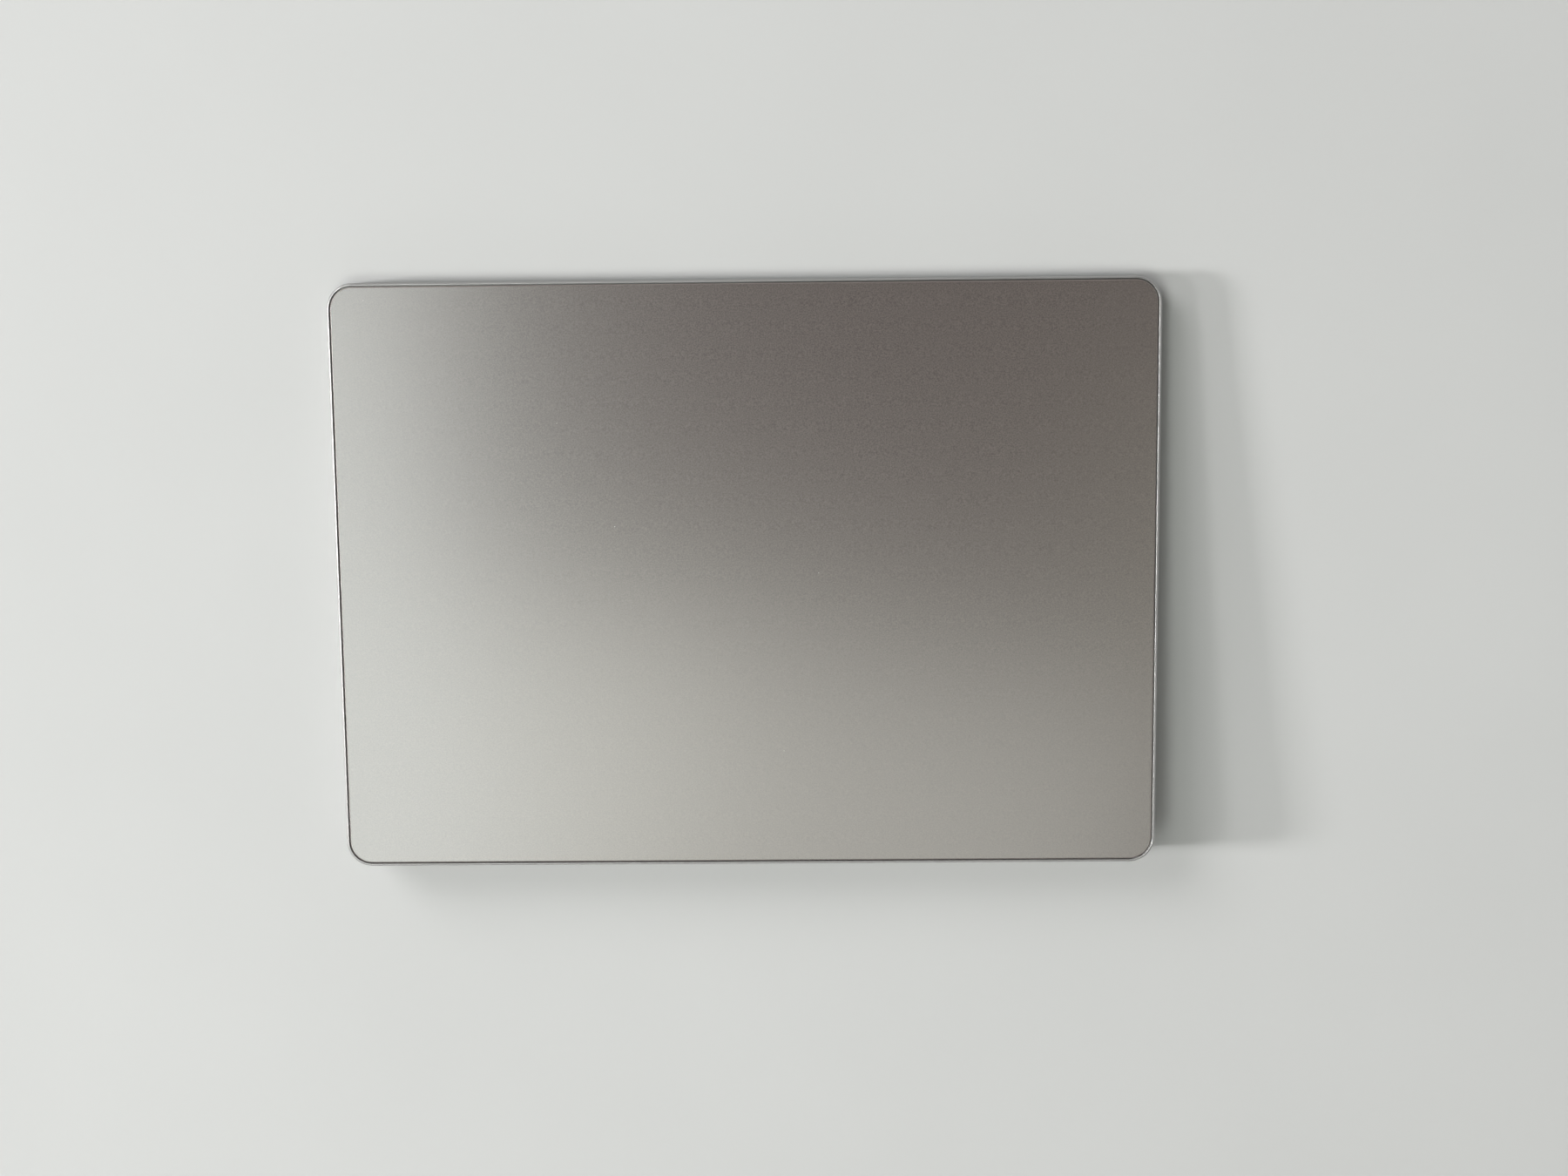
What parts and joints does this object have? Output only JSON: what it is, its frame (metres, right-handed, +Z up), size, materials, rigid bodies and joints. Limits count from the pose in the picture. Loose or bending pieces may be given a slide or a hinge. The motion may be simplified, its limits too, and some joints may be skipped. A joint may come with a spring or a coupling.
{
  "type": "trackpad",
  "caption": "Wedge-shaped wireless desk trackpad: a frosted glass touch plate that presses and shifts in a metal shell, with a charging port and a sliding power switch.",
  "frame": {"origin": "middle of the part's box, at the level of the table that the feet rest on", "axes": "+X across the pad to the right for the person using it, +Y from the thin front edge to the thick rear edge, +Z up"},
  "size_m": [0.16, 0.1152, 0.0109],
  "materials": {
    "anodised_shell": "satin anodised",
    "frosted_glass": "frosted, opaque grey backing",
    "cover_plastic": "fine texture",
    "foot_rubber": "matte",
    "seal_foam": "adhesive film",
    "bond_film": "adhesive film",
    "gel": "soft gel",
    "spring_steel": "sheet",
    "gauge_film": "polyimide film",
    "core_iron": "laminated",
    "bobbin_plastic": "moulded",
    "coil_copper": "enamelled copper wire",
    "battery_pouch": "foil pouch",
    "glue_strip": "pull strip",
    "tin_can": "tinned",
    "socket_plastic": "moulded",
    "port_steel": "plated",
    "port_plastic": "moulded",
    "gold_plate": "plated",
    "slider_plastic": "satin",
    "circuit_board": "solder mask",
    "chip_black": "moulded",
    "passive_ceramic": "fired",
    "flex_film": "polyimide film",
    "screw_steel": "plated"
  },
  "bodies": {
    "housing": {"enclosure": "anodised_shell", "base_cover": "cover_plastic", "cover_seal": "seal_foam", "cover_screws": "screw_steel", "rubber_feet": "foot_rubber", "force_flexures": "spring_steel", "flexure_screws": "screw_steel", "strain_gauges": "gauge_film", "gauge_flexes": "flex_film", "haptic_core": "core_iron", "haptic_bobbins": "bobbin_plastic", "haptic_coils": "coil_copper", "haptic_bracket": "spring_steel", "bracket_screws": "screw_steel", "haptic_lead": "flex_film", "battery_cell": "battery_pouch", "battery_glue": "glue_strip", "battery_guard_board": "circuit_board", "battery_lead": "flex_film", "main_board": "circuit_board", "board_screws": "screw_steel", "radio_shield": "tin_can", "radio_chip": "chip_black", "logic_chips": "chip_black", "board_passives": "passive_ceramic", "flex_sockets": "socket_plastic", "sensor_ribbon": "flex_film", "port_shell": "port_steel", "port_tongue": "port_plastic", "port_contacts": "gold_plate", "switch_housing": "tin_can", "antenna_film": "flex_film", "antenna_spring": "gold_plate"},
    "force_pads": {"gel_pads": "gel"},
    "touch_plate": {"glass_surface": "frosted_glass", "bonding_sheet": "bond_film", "sensor_board": "circuit_board", "touch_controller": "chip_black", "sensor_passives": "passive_ceramic", "sensor_connector": "socket_plastic", "haptic_armature": "core_iron"},
    "power_slider": {"power_slider": "slider_plastic", "switch_lever": "socket_plastic"}
  },
  "joints": [
    {"name": "plate_press", "type": "slide", "parent": "housing", "child": "force_pads", "axis": [0, 0.0522, -0.9986], "range_m": [0, 0.00015], "stiffness_N_per_m": 20000, "springref_m": -0.0001, "deforming": ["force_flexures"]},
    {"name": "haptic_shift", "type": "slide", "parent": "force_pads", "child": "touch_plate", "axis": [0, 0.9986, 0.0522], "range_m": [-0.0001, 0.0001], "stiffness_N_per_m": 20000},
    {"name": "switch_slide", "type": "slide", "parent": "housing", "child": "power_slider", "axis": [1, 0, 0], "range_m": [0, 0.0024]}
  ]
}
